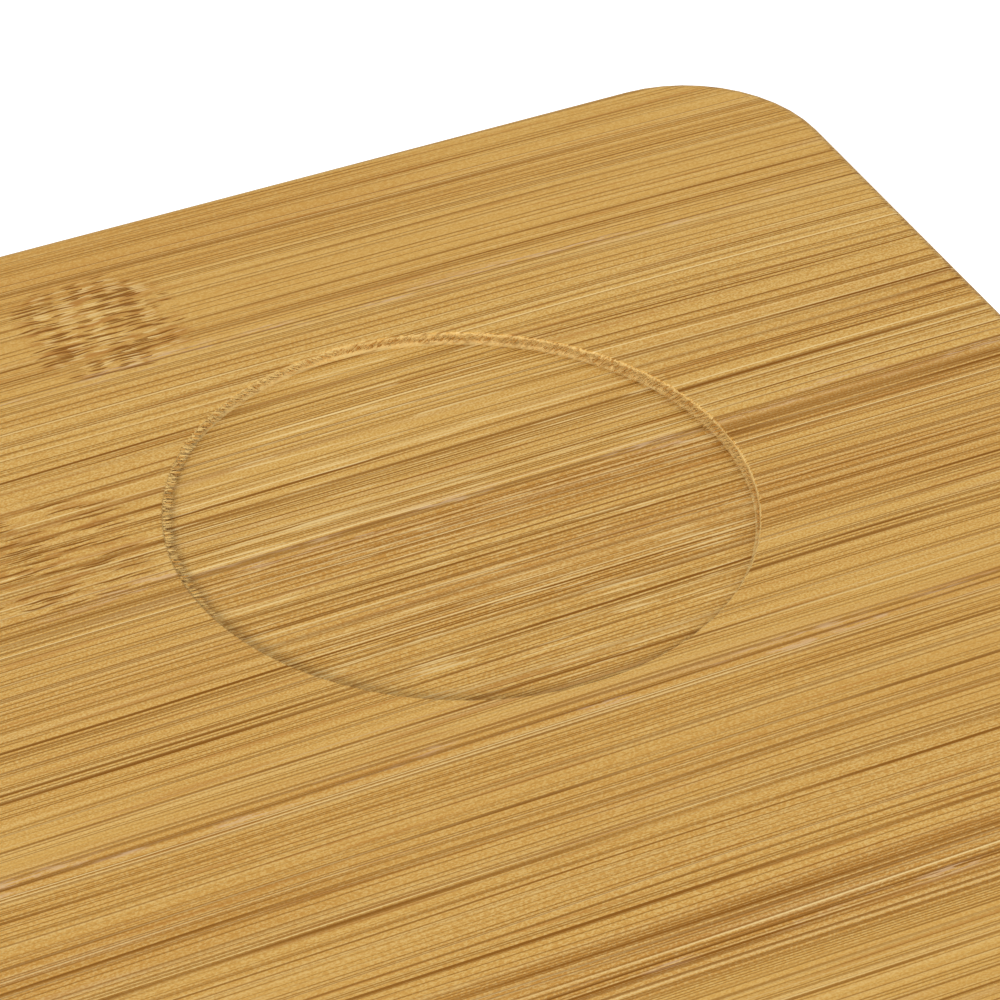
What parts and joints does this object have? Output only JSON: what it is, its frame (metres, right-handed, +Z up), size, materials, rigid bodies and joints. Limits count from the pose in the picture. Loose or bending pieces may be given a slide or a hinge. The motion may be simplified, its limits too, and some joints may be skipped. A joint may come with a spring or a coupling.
{
  "type": "wireless charging pad",
  "caption": "Flat bamboo board with a shallow round charging spot near one corner, rubber feet, and a coil and circuit in a covered pocket underneath, with a power socket in the back edge.",
  "frame": {"origin": "on the desk under the middle of the board", "axes": "+Z up, +X along the board's long side and its grain, +Y towards the back edge with the power socket"},
  "size_m": [0.22, 0.18, 0.01],
  "materials": {
    "bamboo": "satin oiled",
    "cover_plastic": "fine spark texture",
    "foot_rubber": "matte",
    "foot_glue": "tacky film",
    "screw_steel": "black zinc",
    "circuit_screw_steel": "bright zinc",
    "bezel_plastic": "fine satin",
    "inlet_steel": "drawn, nickel plated",
    "inlet_insulator": "satin",
    "contact_gold": "gold flash",
    "circuit_laminate": "solder mask",
    "chip_epoxy": "matte moulded",
    "inductor_body": "matte pressed powder",
    "capacitor_body": "satin fired",
    "resistor_body": "satin glaze",
    "led_epoxy": "gloss",
    "clear_acrylic": "polished",
    "solder": "bright",
    "gap_filler": "matte",
    "tray_plastic": "satin",
    "ferrite": "matte fired",
    "coil_tape": "amber film",
    "litz_copper": "enamelled strands",
    "foam": "open cell",
    "sensor_glass": "glossy bead",
    "wire_jacket": "satin"
  },
  "bodies": {
    "root": {"bamboo_board": "bamboo", "base_cover": "cover_plastic", "cover_screws": "screw_steel", "foot_front_left": "foot_rubber", "foot_front_right": "foot_rubber", "foot_back_left": "foot_rubber", "foot_back_right": "foot_rubber", "foot_adhesives": "foot_glue", "port_bezel": "bezel_plastic", "usb_shell": "inlet_steel", "usb_housing": "inlet_insulator", "usb_tongue": "inlet_insulator", "usb_contacts": "contact_gold", "circuit_board": "circuit_laminate", "circuit_screws": "circuit_screw_steel", "controller_chip": "chip_epoxy", "bridge_transistors": "chip_epoxy", "buck_inductor": "inductor_body", "resonant_capacitors": "capacitor_body", "filter_capacitors": "capacitor_body", "chip_resistors": "resistor_body", "status_led": "led_epoxy", "light_pipe": "clear_acrylic", "solder_joints": "solder", "thermal_pad": "gap_filler", "coil_tray": "tray_plastic", "ferrite_shield": "ferrite", "coil_tape_lower": "coil_tape", "coil_tape_upper": "coil_tape", "charging_coil": "litz_copper", "coil_leads": "litz_copper", "tray_foam_pads": "foam", "thermistor": "sensor_glass", "sensor_wires": "wire_jacket"}
  },
  "joints": []
}
